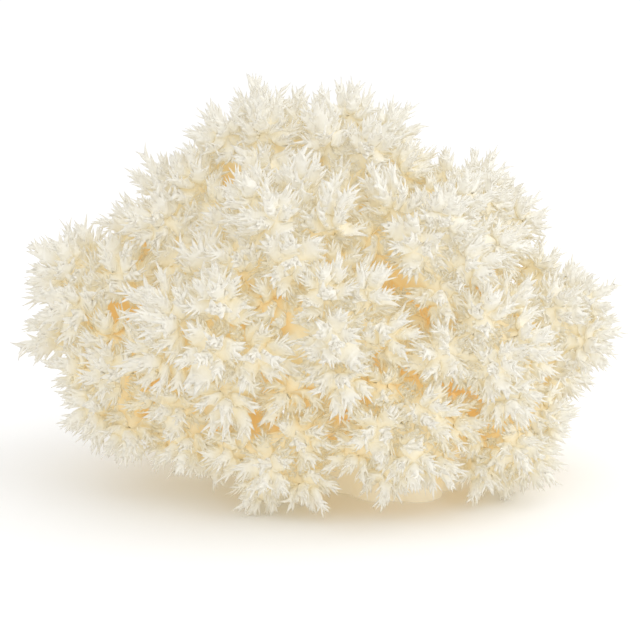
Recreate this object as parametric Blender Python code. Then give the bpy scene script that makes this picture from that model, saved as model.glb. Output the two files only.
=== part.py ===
"""A cluster of coral tooth fungus, cut off flat at its base.

A short fleshy trunk carries stubs, one for each limb. A limb is a stalk that ends in one or two
crowns, and a crown is a knob of flesh with fronds all round it. A frond is a short stem with two
tiers of fingers and one finger at its end. Lengths are in millimetres until the meshes are made.
"""

import math
import random

import bmesh
import bpy
from mathutils import Matrix, Vector

MM = 0.001
SEED = 15
GAP = 0.3

# The trunk: a ball of flesh that the cut at z = 0 takes the bottom from, with a stub for each limb.
TRUNK_CENTRE = Vector((0.0, 0.0, 10.0))
TRUNK_RADIUS = 23.5
CUT_SIDES = 16
STUB_LENGTH = 3.0
STUB_SPACING = math.radians(29)

# A limb: its stalk, the fork of a limb with two crowns, and the boughs from the fork to the knobs.
STALK_RADIUS = 4.8
STALK_SIDES = 4
FORK_RADIUS = 9.5
FORK_AT = 0.45
FORK_SPACING = math.radians(64)
BOUGH_RADIUS = 4.4
CURVE_TENSION = 0.36
STALK_STEPS = 2
BOUGH_STEPS = 3

# How directions from one ball are turned apart: the share of the overlap, and the most rounds.
PUSH = 0.3
PUSH_ROUNDS = 200

# A frond of size 1: the height of each ring of its stem above the knob, and the ring's radius.
STEM_RINGS = ((0.0, 2.3), (4.2, 2.6), (8.2, 1.9))
RING_TWIST = math.radians(60)
# The reach of each kind of finger: how far its tip is from the frond's axis, and how high.
LOW_FINGER = (8.6, 3.6)
SECOND_FINGER = (9.0, 7.2)
THIRD_FINGER = (7.6, 11.2)
HIGH_FINGER = (5.2, 14.0)
END_FINGER = (0.0, 17.0)
FROND_MIDDLE = 7.0
SHORTEST_FINGER = 4.6
LENGTH_SPREAD = (0.84, 1.12)
TURN_SPREAD = math.radians(11)

# How the fronds share the space: the room between them, and what is dropped for want of it.
FROND_DIRECTIONS = 70
FROND_SPACING = 11.2
RING_CLEARANCE = math.radians(3)
TRUNK_CLEARANCE = 1.0
ROOM = 0.35
LEAST_END = 0.5
GROUND = 0.25
NEAR = 50.0
# The outermost fronds grow first, by how far out their tips are in this egg round the cluster.
EGG_CENTRE = Vector((-20.0, 0.0, 50.0))
EGG_HALF = (92.0, 66.0, 70.0)
INNERMOST = 0.5

# Each limb's crowns: the middle of the knob, its radius, and the size of its fronds.
LIMBS = {
    "limb_left": (((-81, 6, 52), 13, 1.18),),
    "limb_left_low": (((-74, -15, 34), 9, 1.06),),
    "limb_left_shoulder": (((-57, 6, 73), 12, 1.1),),
    "limb_crown": (((-36, 10, 91), 13, 1.06), ((-12, 6, 90), 13, 1.02)),
    "limb_right_upper": (((21, 6, 73), 13, 0.98),),
    "limb_right": (((43, -1, 47), 12, 0.98),),
    "limb_right_low": (((31, -20, 23), 9, 0.96),),
    "limb_front_left": (((-46, -32, 52), 13, 1.12),),
    "limb_front_left_low": (((-55, -22, 30), 8, 1.0),),
    "limb_front_upper": (((-29, -25, 73), 13, 1.05), ((11, -22, 73), 12, 0.98)),
    "limb_front_centre": (((-18, -35, 53), 13, 1.05),),
    "limb_front_low": (((-31, -31, 22), 9, 1.0),),
    "limb_front_base": (((2, -38, 29), 9, 0.96),),
    "limb_front_right": (((21, -31, 46), 12, 0.98),),
    "limb_back_left": (((-54, 30, 54), 13, 1.18),),
    "limb_back_left_low": (((-40, 29, 26), 10, 1.1),),
    "limb_back_upper": (((-25, 34, 77), 13, 1.14), ((15, 33, 62), 13, 1.1)),
    "limb_back_low": (((-6, 37, 30), 12, 1.12),),
    "limb_back_right": (((35, 26, 32), 12, 1.1),),
}

FLESH = (0.86, 0.79, 0.62)
BASE_FLESH = (0.84, 0.76, 0.56)
FLESH_ROUGHNESS = 0.62


class Obstacle:
    """A ball that no frond may enter."""

    def __init__(self, centre, radius):
        self.centre = centre
        self.radius = radius


class Knob:
    """The fleshy ball at the middle of a crown, and the fronds that grow from it."""

    def __init__(self, centre, radius, size):
        self.centre = Vector(centre)
        self.radius = radius
        self.size = size
        self.bough = []
        self.fronds = []


class Frond:
    """One frond: where it leaves its knob, its axes, its size and the tips of its fingers."""

    def __init__(self, knob, axis, turn):
        self.knob = knob
        self.size = knob.size
        self.axis = axis
        self.turn = turn
        self.root = knob.centre + axis * rim_distance(knob.radius, STEM_RINGS[0][1] * knob.size)
        self.side = axis.orthogonal().normalized()
        self.cross = axis.cross(self.side)
        self.middle = self.root + axis * FROND_MIDDLE * self.size
        self.rings = [self.ring(level) for level in range(len(STEM_RINGS))]
        self.fingers = []
        self.walls = []

    def point(self, reach, height, angle):
        """The point at this reach from the axis, height above the root and angle round it."""
        around = self.side * math.cos(angle) + self.cross * math.sin(angle)
        return self.root + (self.axis * height + around * reach) * self.size

    def ring(self, level):
        """The three points of the stem's ring at this level."""
        height, radius = STEM_RINGS[level]
        start = self.turn + level * RING_TWIST
        return [self.point(radius, height, start + i * math.tau / 3) for i in range(3)]

    def grow(self, chance):
        """Sets out the fingers, one on each face of the stem, at full length."""
        kinds = ((LOW_FINGER, SECOND_FINGER), (THIRD_FINGER, HIGH_FINGER))
        for level, (lower, upper) in enumerate(kinds):
            first = self.turn + level * RING_TWIST
            for i in range(3):
                nxt = (i + 1) % 3
                angle = first + i * math.tau / 3 + RING_TWIST
                self.add(((level, i), (level, nxt), (level + 1, i)), lower, angle, chance)
                corners = ((level + 1, i), (level, nxt), (level + 1, nxt))
                self.add(corners, upper, angle + RING_TWIST, chance)
        top = len(STEM_RINGS) - 1
        self.add(((top, 0), (top, 1), (top, 2)), END_FINGER, 0.0, chance)

    def add(self, corners, reach, angle, chance):
        """Adds a finger on the face with these corners, with a length and a turn of its own."""
        start = sum((self.rings[level][i] for level, i in corners), Vector()) / 3
        angle += chance.uniform(-TURN_SPREAD, TURN_SPREAD)
        tip = start + (self.point(*reach, angle) - start) * chance.uniform(*LENGTH_SPREAD)
        self.fingers.append([corners, start, tip])

    def set_walls(self, others, balls):
        """Keeps the planes that this frond stays behind, as outward normals and distances."""
        self.walls = [(Vector((0, 0, -1)), self.middle.z - GROUND)]
        for other in others:
            away = other.middle - self.middle
            if 0 < away.length < NEAR:
                share = away.length * self.size / (self.size + other.size)
                self.walls.append((away.normalized(), share - ROOM))
        for ball in balls:
            away = ball.centre - self.middle
            if away.length < NEAR and ball.centre != self.knob.centre:
                self.walls.append((away.normalized(), away.length - ball.radius - ROOM))

    def stem_fits(self):
        """Whether the stem above the knob is behind every wall."""
        points = [point - self.middle for ring in self.rings[1:] for point in ring]
        return all(point.dot(normal) <= limit for normal, limit in self.walls for point in points)

    def free_share(self, finger):
        """The share of a finger's length that is behind every wall."""
        _, start, tip = finger
        share = 1.0
        for normal, limit in self.walls:
            reach = (tip - start).dot(normal)
            if reach > 0:
                share = min(share, (limit - (start - self.middle).dot(normal)) / reach)
        return max(0.0, share)

    def has_room(self, others, balls):
        """Whether the stem is clear of the balls, and far enough from the other fronds."""
        for other in others:
            least = FROND_SPACING * (self.size + other.size) / 2
            if (self.middle - other.middle).length < least:
                return False
        self.set_walls([], balls)
        return self.stem_fits()


class Limb:
    """One limb: its stalk, the boughs of its fork if it has one, and its knobs."""

    def __init__(self, name, aim, crowns):
        self.name = name
        self.aim = aim
        self.start = TRUNK_CENTRE + aim * (TRUNK_RADIUS + STUB_LENGTH + GAP)
        self.knobs = [Knob(*crown) for crown in crowns]
        self.stalk = []
        self.fork = None
        if len(self.knobs) == 1:
            self.add_bough(self.knobs[0], self.start, aim, STALK_RADIUS)
            return
        self.fork = self.start.lerp(mean([knob.centre for knob in self.knobs]), FORK_AT)
        heading = (self.fork - self.start).normalized()
        end = self.fork - heading * rim_distance(FORK_RADIUS, STALK_RADIUS)
        self.stalk = path_between(self.start, aim, end, heading, STALK_STEPS)
        ways = {"stalk": -heading}
        for which, knob in enumerate(self.knobs):
            ways[which] = (knob.centre - self.fork).normalized()
        spread_apart(ways, FORK_SPACING)
        for which, knob in enumerate(self.knobs):
            leave = self.fork + ways[which] * rim_distance(FORK_RADIUS, BOUGH_RADIUS)
            self.add_bough(knob, leave, ways[which], BOUGH_RADIUS)

    def add_bough(self, knob, leave, heading, thickness):
        """Sets out the run from here to the rim of the knob."""
        arrival = (knob.centre - leave).normalized()
        end = knob.centre - arrival * rim_distance(knob.radius, thickness)
        knob.bough = path_between(leave, heading, end, arrival, BOUGH_STEPS)

    def obstacles(self):
        """Balls that cover the knobs, the fork, the boughs and the stalk."""
        balls = [Obstacle(knob.centre, knob.radius) for knob in self.knobs]
        if self.fork:
            balls.append(Obstacle(self.fork, FORK_RADIUS))
        for run in [knob.bough for knob in self.knobs] + [self.stalk]:
            for one, other in zip(run, run[1:]):
                balls += [Obstacle(one.lerp(other, i / 4), STALK_RADIUS) for i in range(4)]
        return balls


def mean(points):
    return sum(points, Vector()) / len(points)


def rim_distance(ball, ring):
    """How far from a ball's centre a ring of this radius lies on it."""
    return math.sqrt(ball * ball - ring * ring)


def spread_apart(ways, least):
    """Turns the directions apart until each pair has at least this angle between them."""
    names = list(ways)
    for _ in range(PUSH_ROUNDS):
        moved = False
        for i, one in enumerate(names):
            for other in names[i + 1 :]:
                angle = ways[one].angle(ways[other])
                if angle < least:
                    push = (ways[one] - ways[other]).normalized() * (least - angle) * PUSH
                    ways[one] = (ways[one] + push).normalized()
                    ways[other] = (ways[other] - push).normalized()
                    moved = True
        if not moved:
            return


def path_between(start, heading, end, arrival, steps):
    """Points on a smooth curve from start, along heading, to end, along arrival."""
    reach = (end - start).length * CURVE_TENSION
    first, last = start + heading * reach, end - arrival * reach
    points = []
    for i in range(steps + 1):
        t = i / steps
        near, far = (1 - t) ** 2, t * t
        point = (start * (1 - t) + first * 3 * t) * near + (last * 3 * (1 - t) + end * t) * far
        points.append(point)
    return points


def directions(count, chance):
    """Directions spread evenly over a sphere, turned at random."""
    turn = Matrix.Rotation(chance.uniform(0, math.tau), 3, "Z")
    tip = Matrix.Rotation(chance.uniform(0, math.pi), 3, "X")
    golden = math.pi * (3 - math.sqrt(5))
    found = []
    for i in range(count):
        z = 1 - (2 * i + 1) / count
        r = math.sqrt(1 - z * z)
        found.append(turn @ (tip @ Vector((r * math.cos(i * golden), r * math.sin(i * golden), z))))
    return found


def bare_limbs():
    """All limbs before their fronds, their stubs turned apart round the trunk."""
    aims = {}
    for name, crowns in LIMBS.items():
        middle = mean([Vector(centre) for centre, _, _ in crowns])
        aims[name] = (middle - TRUNK_CENTRE).normalized()
    spread_apart(aims, STUB_SPACING)
    return [Limb(name, aims[name], crowns) for name, crowns in LIMBS.items()]


def outness(frond):
    """How far out the frond's tip is: 1 on the egg round the cluster."""
    away = frond.point(*END_FINGER, 0.0) - EGG_CENTRE
    return Vector([part / half for part, half in zip(away, EGG_HALF)]).length


def wanted_fronds(limbs, chance):
    """Every frond that could grow, the outermost first."""
    found = []
    for knob in [knob for limb in limbs for knob in limb.knobs]:
        back = knob.bough[-1] - knob.centre
        spread = math.asin(STALK_RADIUS / knob.radius) + RING_CLEARANCE
        spread += math.asin(STEM_RINGS[0][1] * knob.size / knob.radius)
        for axis in directions(FROND_DIRECTIONS, chance):
            turn = chance.uniform(0, math.tau)
            if axis.angle(back) >= spread:
                frond = Frond(knob, axis, turn)
                frond.grow(chance)
                found.append(frond)
    return sorted((frond for frond in found if outness(frond) > INNERMOST), key=outness)[::-1]


def grown_limbs():
    """All limbs, with their fronds grown into the room that they share."""
    limbs = bare_limbs()
    balls = [Obstacle(TRUNK_CENTRE, TRUNK_RADIUS + TRUNK_CLEARANCE)]
    for limb in limbs:
        balls += limb.obstacles()
    kept = []
    for frond in wanted_fronds(limbs, random.Random(SEED)):
        if frond.has_room(kept, balls):
            kept.append(frond)
    while True:
        shares = []
        for frond in kept:
            frond.set_walls(kept, balls)
            shares.append(frond.free_share(frond.fingers[-1]) if frond.stem_fits() else 0.0)
        if min(shares) >= LEAST_END:
            break
        kept.pop(shares.index(min(shares)))
    for frond in kept:
        for finger in frond.fingers:
            finger[2] = finger[1].lerp(finger[2], frond.free_share(finger))
        frond.knob.fronds.append(frond)
    return limbs


def ring_points(centre, axis, radius, sides):
    """Points of a regular ring round this centre, square to the axis."""
    side = axis.orthogonal().normalized()
    cross = axis.cross(side).normalized()
    turns = [i * math.tau / sides for i in range(sides)]
    return [centre + (side * math.cos(a) + cross * math.sin(a)) * radius for a in turns]


def add_ring(mesh, points):
    return [mesh.verts.new(point * MM) for point in points]


def join_rings(mesh, rings):
    """Skins the tube through these rings, each pair with the least twist."""
    for one, other in zip(rings, rings[1:]):
        turned = [row[i:] + row[:i] for row in (other, other[::-1]) for i in range(len(row))]
        near = min(
            turned, key=lambda row: sum((p.co - q.co).length_squared for p, q in zip(one, row))
        )
        for i in range(len(one)):
            mesh.faces.new((one[i - 1], one[i], near[i], near[i - 1]))


def hull_joint(mesh, rings):
    """Wraps the rings of a joint in their hull, and opens it at each ring."""
    verts = [vert for ring in rings for vert in ring]
    hull = bmesh.ops.convex_hull(mesh, input=verts, use_existing_faces=False)
    sets = [set(ring) for ring in rings]
    faces = [item for item in hull["geom"] if isinstance(item, bmesh.types.BMFace)]
    inside = [face for face in faces if any(set(face.verts) <= ring for ring in sets)]
    bmesh.ops.delete(mesh, geom=inside, context="FACES_ONLY")
    loose = [edge for edge in mesh.edges if not edge.link_faces]
    bmesh.ops.delete(mesh, geom=loose, context="EDGES")


def finish_mesh(mesh, name, colour, collection):
    """Turns the built mesh into a named object with a flesh of this colour."""
    bmesh.ops.recalc_face_normals(mesh, faces=mesh.faces)
    bmesh.ops.triangulate(mesh, faces=mesh.faces)
    data = bpy.data.meshes.new(name)
    mesh.to_mesh(data)
    mesh.free()
    material = bpy.data.materials.new(name + "_flesh")
    material.use_nodes = True
    material.diffuse_color = (*colour, 1)
    shader = material.node_tree.nodes["Principled BSDF"]
    shader.inputs["Base Color"].default_value = (*colour, 1)
    shader.inputs["Roughness"].default_value = FLESH_ROUGHNESS
    shader.inputs["Metallic"].default_value = 0.0
    data.materials.append(material)
    collection.objects.link(bpy.data.objects.new(name, data))


def make_base(limbs, collection):
    """The trunk: the flat cut, the ball above it, and a stub for each limb."""
    mesh = bmesh.new()
    centre = Vector((TRUNK_CENTRE.x, TRUNK_CENTRE.y, 0))
    cut_radius = rim_distance(TRUNK_RADIUS, TRUNK_CENTRE.z)
    cut = add_ring(mesh, ring_points(centre, Vector((0, 0, 1)), cut_radius, CUT_SIDES))
    rims = []
    for limb in limbs:
        foot = TRUNK_CENTRE + limb.aim * rim_distance(TRUNK_RADIUS, STALK_RADIUS)
        rims.append(add_ring(mesh, ring_points(foot, limb.aim, STALK_RADIUS, STALK_SIDES)))
    hull_joint(mesh, [cut] + rims)
    bmesh.ops.contextual_create(mesh, geom=cut)
    for limb, rim in zip(limbs, rims):
        end = TRUNK_CENTRE + limb.aim * (TRUNK_RADIUS + STUB_LENGTH)
        cap = add_ring(mesh, ring_points(end, limb.aim, STALK_RADIUS, STALK_SIDES))
        join_rings(mesh, [rim, cap])
        bmesh.ops.contextual_create(mesh, geom=cap)
    finish_mesh(mesh, "base", BASE_FLESH, collection)


def add_tube(mesh, points, radius, first, last):
    """Skins a tube along the points, from one ring to another that are there already."""
    rings = [first]
    for before, point, after in zip(points, points[1:], points[2:]):
        along = (after - before).normalized()
        rings.append(add_ring(mesh, ring_points(point, along, radius, STALK_SIDES)))
    join_rings(mesh, rings + [last])


def add_frond(mesh, root, frond):
    """Builds the frond's stem on its root ring, and draws its faces out to the fingers' tips."""
    rings = [root] + [add_ring(mesh, ring) for ring in frond.rings[1:]]
    drawn, tips = [], []
    for corners, start, tip in frond.fingers:
        face = mesh.faces.new([rings[level][i] for level, i in corners])
        if (tip - start).length > SHORTEST_FINGER * frond.size:
            drawn.append(face)
            tips.append(tip * MM)
    for vert, tip in zip(bmesh.ops.poke(mesh, faces=drawn)["verts"], tips):
        vert.co = tip


def make_limb(limb, collection):
    """One limb, from the flat end that meets its stub to the tips of its fingers."""
    mesh = bmesh.new()
    foot = add_ring(mesh, ring_points(limb.start, limb.aim, STALK_RADIUS, STALK_SIDES))
    bmesh.ops.contextual_create(mesh, geom=foot)
    leaves, thickness = [foot], STALK_RADIUS
    if limb.fork:
        thickness = BOUGH_RADIUS
        back = (limb.stalk[-1] - limb.fork).normalized()
        inlet = add_ring(mesh, ring_points(limb.stalk[-1], back, STALK_RADIUS, STALK_SIDES))
        leaves = []
        for knob in limb.knobs:
            out = (knob.bough[0] - limb.fork).normalized()
            leaves.append(add_ring(mesh, ring_points(knob.bough[0], out, thickness, STALK_SIDES)))
        hull_joint(mesh, [inlet] + leaves)
        add_tube(mesh, limb.stalk, STALK_RADIUS, foot, inlet)
    for leave, knob in zip(leaves, limb.knobs):
        back = (knob.bough[-1] - knob.centre).normalized()
        inlet = add_ring(mesh, ring_points(knob.bough[-1], back, thickness, STALK_SIDES))
        roots = [add_ring(mesh, frond.rings[0]) for frond in knob.fronds]
        hull_joint(mesh, [inlet] + roots)
        add_tube(mesh, knob.bough, thickness, leave, inlet)
        for root, frond in zip(roots, knob.fronds):
            add_frond(mesh, root, frond)
    finish_mesh(mesh, limb.name, FLESH, collection)


def main():
    for thing in list(bpy.data.objects):
        bpy.data.objects.remove(thing, do_unlink=True)
    collection = bpy.data.collections.new("coral_tooth_fungus")
    bpy.context.scene.collection.children.link(collection)
    limbs = grown_limbs()
    make_base(limbs, collection)
    for limb in limbs:
        make_limb(limb, collection)


if __name__ == "__main__":
    main()
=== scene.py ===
"""A cluster of coral tooth fungus, dressed: toothed limbs and a cut trunk, in a pale studio.

Every limb of the frame gets a fleshy mesh of the same form, whose fingers follow the solid's and
carry small teeth. Lengths are in millimetres until a mesh is made.
"""

import logging
import math
import random
from dataclasses import dataclass, field
from enum import Enum
from typing import Any

import bmesh
import bpy
import numpy as np
from mathutils import Matrix, Vector, noise
from mathutils.bvhtree import BVHTree


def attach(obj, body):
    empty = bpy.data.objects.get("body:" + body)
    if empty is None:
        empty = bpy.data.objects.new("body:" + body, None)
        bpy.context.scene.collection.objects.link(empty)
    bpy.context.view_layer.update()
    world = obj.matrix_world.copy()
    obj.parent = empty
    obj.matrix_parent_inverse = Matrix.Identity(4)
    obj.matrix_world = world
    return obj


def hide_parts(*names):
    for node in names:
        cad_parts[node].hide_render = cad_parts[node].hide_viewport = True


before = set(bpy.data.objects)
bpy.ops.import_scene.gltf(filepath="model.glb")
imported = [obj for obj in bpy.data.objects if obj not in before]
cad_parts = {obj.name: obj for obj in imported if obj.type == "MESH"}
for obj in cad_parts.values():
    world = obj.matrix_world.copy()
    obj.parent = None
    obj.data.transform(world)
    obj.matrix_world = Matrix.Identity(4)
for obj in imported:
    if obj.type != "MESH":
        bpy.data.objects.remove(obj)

MM = 0.001
SEED = 15
TINY = 1e-9
log = logging.getLogger("fungus")

Points = list[Vector]
Verts = list[bmesh.types.BMVert]
Stops = tuple[tuple[float, tuple[float, float, float]], ...]


class Reach(Enum):
    """The kinds of finger of a frond: how far the tip is from its axis, and how high."""

    LOW = (8.6, 3.6)
    SECOND = (9.0, 7.2)
    THIRD = (7.6, 11.2)
    HIGH = (5.2, 14.0)
    END = (0.0, 17.0)


@dataclass(frozen=True)
class FrondPlan:
    """The sizes of a frond of size 1, as the solids have them."""

    stem_rings: tuple[tuple[float, float], ...] = ((0.0, 2.3), (4.2, 2.6), (8.2, 1.9))
    ring_twist: float = math.radians(60)
    middle: float = 7.0
    length_spread: tuple[float, float] = (0.84, 1.12)
    turn_spread: float = math.radians(11)


@dataclass(frozen=True)
class LimbPlan:
    """The sizes of the trunk, the stalks and the forks, as the solids have them."""

    trunk_centre: Vector = field(default_factory=lambda: Vector((0.0, 0.0, 10.0)))
    trunk_radius: float = 23.5
    stub_length: float = 3.0
    stub_spacing: float = math.radians(29)
    gap: float = 0.3
    stalk_radius: float = 4.8
    stalk_sides: int = 4
    fork_radius: float = 9.5
    fork_at: float = 0.45
    fork_spacing: float = math.radians(64)
    bough_radius: float = 4.4
    curve_tension: float = 0.36
    stalk_steps: int = 2
    bough_steps: int = 3
    push: float = 0.3
    push_rounds: int = 200
    balls_a_step: int = 4


FROND = FrondPlan()
PLAN = LimbPlan()


def mean(points: Points) -> Vector:
    """Returns the middle of the points."""
    return sum(points, Vector()) / len(points)


def rim_distance(ball: float, ring: float) -> float:
    """Returns how far from a ball's centre a ring of this radius lies on it."""
    return math.sqrt(ball * ball - ring * ring)


def spread_apart(ways: dict[Any, Vector], least: float) -> None:
    """Turns the directions apart until each pair has at least this angle between them.

    Args:
        ways: The directions by name, changed in place.
        least: The least angle between two of them.
    """
    names = list(ways)
    for _ in range(PLAN.push_rounds):
        moved = False
        for i, one in enumerate(names):
            for other in names[i + 1 :]:
                angle = ways[one].angle(ways[other])
                if angle < least:
                    push = (ways[one] - ways[other]).normalized() * (least - angle) * PLAN.push
                    ways[one] = (ways[one] + push).normalized()
                    ways[other] = (ways[other] - push).normalized()
                    moved = True
        if not moved:
            return


def path_between(
    start: Vector, heading: Vector, end: Vector, arrival: Vector, steps: int
) -> Points:
    """Lays a smooth curve between two points.

    Args:
        start: The first point, left along heading.
        heading: The direction at the start.
        end: The last point, met along arrival.
        arrival: The direction at the end.
        steps: The number of steps.

    Returns:
        The points of the curve.
    """
    reach = (end - start).length * PLAN.curve_tension
    first, last = start + heading * reach, end - arrival * reach
    points = []
    for i in range(steps + 1):
        t = i / steps
        near, far = (1 - t) ** 2, t * t
        early, late = start * (1 - t) + first * 3 * t, last * 3 * (1 - t) + end * t
        points.append(early * near + late * far)
    return points


def even_directions(count: int) -> Points:
    """Spreads directions evenly over a sphere, along a golden spiral.

    Args:
        count: The number of directions.

    Returns:
        The directions.
    """
    golden = math.pi * (3 - math.sqrt(5))
    found = []
    for i in range(count):
        z = 1 - (2 * i + 1) / count
        r = math.sqrt(1 - z * z)
        found.append(Vector((r * math.cos(i * golden), r * math.sin(i * golden), z)))
    return found


def numbers(items: Any, what: str, width: int = 1, kind: type = float) -> np.ndarray:
    """Reads one property of all items of a mesh.

    Args:
        items: The vertices, loops or values of an attribute.
        what: The property's name.
        width: The count of its numbers.
        kind: Their type.

    Returns:
        The numbers, in rows where an item has more than one.
    """
    found = np.zeros(len(items) * width, kind)
    items.foreach_get(what, found)
    return found.reshape(-1, width) if width > 1 else found


def add_object(name: str, data: Any) -> bpy.types.Object:
    """Makes an object and puts it in the scene.

    Args:
        name: Its name.
        data: Its mesh, light or camera.

    Returns:
        The object.
    """
    thing = bpy.data.objects.new(name, data)
    bpy.context.scene.collection.objects.link(thing)
    return thing


def modified(coarse: bmesh.types.BMesh, modifiers: dict[str, dict[str, Any]]) -> bpy.types.Mesh:
    """Applies modifiers to a coarse mesh, and frees it.

    Args:
        coarse: The coarse mesh.
        modifiers: The settings of each modifier, by its type, in order.

    Returns:
        The finished mesh.
    """
    rough = bpy.data.meshes.new("rough")
    coarse.to_mesh(rough)
    coarse.free()
    thing = add_object("rough", rough)
    for kind, settings in modifiers.items():
        modifier = thing.modifiers.new(kind, kind)
        for name, value in settings.items():
            setattr(modifier, name, value)
    graph = bpy.context.evaluated_depsgraph_get()
    fine = bpy.data.meshes.new_from_object(thing.evaluated_get(graph))
    bpy.data.objects.remove(thing)
    bpy.data.meshes.remove(rough)
    return fine


@dataclass
class Ball:
    """A ball that no frond may enter."""

    centre: Vector
    radius: float


@dataclass
class Knob(Ball):
    """The fleshy ball at the middle of a crown, and the fronds that grow from it."""

    size: float = 1.0
    bough: Points = field(default_factory=list)
    fronds: list["Frond"] = field(default_factory=list)


@dataclass
class Finger:
    """One finger: the stem face that it grows from, its two ends, its size, and its broad way."""

    corners: tuple[tuple[int, int], ...]
    start: Vector
    tip: Vector
    size: float
    across: Vector = field(default_factory=Vector)


class Frond:
    """One frond: where it leaves its knob, its axes and its fingers."""

    def __init__(self, knob: Knob, axis: Vector, turn: float) -> None:
        """Sets out the stem.

        Args:
            knob: The knob that it grows from.
            axis: The direction that it grows in.
            turn: The turn of its lowest ring round the axis.
        """
        self.knob = knob
        self.size = knob.size
        self.axis = axis
        self.turn = turn
        foot = rim_distance(knob.radius, FROND.stem_rings[0][1] * knob.size)
        self.root = knob.centre + axis * foot
        self.side = axis.orthogonal().normalized()
        self.cross = axis.cross(self.side)
        self.middle = self.root + axis * FROND.middle * self.size
        self.rings = [self.ring(level) for level in range(len(FROND.stem_rings))]
        self.fingers: list[Finger] = []
        self.walls: list[tuple[Vector, float]] = []

    def point(self, reach: float, height: float, angle: float) -> Vector:
        """Returns the point at this reach, height and angle about the axis."""
        around = self.side * math.cos(angle) + self.cross * math.sin(angle)
        return self.root + (self.axis * height + around * reach) * self.size

    def ring(self, level: int) -> Points:
        """Sets out one of the stem's rings.

        Args:
            level: Its number, from the lowest.

        Returns:
            Its three points.
        """
        height, radius = FROND.stem_rings[level]
        start = self.turn + level * FROND.ring_twist
        return [self.point(radius, height, start + i * math.tau / 3) for i in range(3)]

    def grow(self, chance: random.Random) -> None:
        """Sets out the fingers, one on each face of the stem, at full length.

        Args:
            chance: The source of their lengths and turns.
        """
        for level, (lower, upper) in enumerate(
            ((Reach.LOW, Reach.SECOND), (Reach.THIRD, Reach.HIGH))
        ):
            first = self.turn + level * FROND.ring_twist
            for i in range(3):
                nxt = (i + 1) % 3
                angle = first + i * math.tau / 3 + FROND.ring_twist
                self.add(((level, i), (level, nxt), (level + 1, i)), lower, angle, chance)
                corners = ((level + 1, i), (level, nxt), (level + 1, nxt))
                self.add(corners, upper, angle + FROND.ring_twist, chance)
        top = len(FROND.stem_rings) - 1
        self.add(((top, 0), (top, 1), (top, 2)), Reach.END, 0.0, chance)

    def add(
        self,
        corners: tuple[tuple[int, int], ...],
        reach: Reach,
        angle: float,
        chance: random.Random,
    ) -> None:
        """Adds a finger.

        Args:
            corners: The ring points of the stem face that it grows from.
            reach: Its kind.
            angle: Its angle round the axis, before its own turn.
            chance: The source of its length and turn.
        """
        start = mean([self.rings[level][i] for level, i in corners])
        angle += chance.uniform(-FROND.turn_spread, FROND.turn_spread)
        full = self.point(*reach.value, angle) - start
        tip = start + full * chance.uniform(*FROND.length_spread)
        self.fingers.append(Finger(corners, start, tip, self.size))


class Limb:
    """One limb: its stalk, the boughs of its fork if it has one, and its knobs."""

    def __init__(self, name: str, aim: Vector, crowns: tuple) -> None:
        """Sets out the stalk and the boughs.

        Args:
            name: The limb's node in the frame.
            aim: The direction of its stub on the trunk.
            crowns: The place, radius and frond size of each knob.
        """
        self.name = name
        self.aim = aim
        reach = PLAN.trunk_radius + PLAN.stub_length + PLAN.gap
        self.start = PLAN.trunk_centre + aim * reach
        self.knobs = [Knob(Vector(place), radius, size) for place, radius, size in crowns]
        self.stalk: Points = []
        self.fork: Vector | None = None
        if len(self.knobs) == 1:
            self.add_bough(self.knobs[0], self.start, aim, PLAN.stalk_radius)
            return
        self.fork = self.start.lerp(mean([knob.centre for knob in self.knobs]), PLAN.fork_at)
        heading = (self.fork - self.start).normalized()
        end = self.fork - heading * rim_distance(PLAN.fork_radius, PLAN.stalk_radius)
        self.stalk = path_between(self.start, aim, end, heading, PLAN.stalk_steps)
        ways: dict[Any, Vector] = {"stalk": -heading}
        for which, knob in enumerate(self.knobs):
            ways[which] = (knob.centre - self.fork).normalized()
        spread_apart(ways, PLAN.fork_spacing)
        for which, knob in enumerate(self.knobs):
            leave = ways[which] * rim_distance(PLAN.fork_radius, PLAN.bough_radius)
            self.add_bough(knob, self.fork + leave, ways[which], PLAN.bough_radius)

    def add_bough(self, knob: Knob, leave: Vector, heading: Vector, thickness: float) -> None:
        """Sets out the run from a point to the rim of a knob.

        Args:
            knob: The knob at its end.
            leave: Its first point.
            heading: Its direction there.
            thickness: Its radius.
        """
        arrival = (knob.centre - leave).normalized()
        end = knob.centre - arrival * rim_distance(knob.radius, thickness)
        knob.bough = path_between(leave, heading, end, arrival, PLAN.bough_steps)

    def balls(self) -> list[Ball]:
        """Covers the knobs, the fork, the boughs and the stalk with balls.

        Returns:
            The balls.
        """
        balls = [Ball(knob.centre, knob.radius) for knob in self.knobs]
        if self.fork:
            balls.append(Ball(self.fork, PLAN.fork_radius))
        for run in [knob.bough for knob in self.knobs] + [self.stalk]:
            for one, other in zip(run, run[1:]):
                shares = [i / PLAN.balls_a_step for i in range(PLAN.balls_a_step)]
                balls += [Ball(one.lerp(other, share), PLAN.stalk_radius) for share in shares]
        return balls


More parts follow.
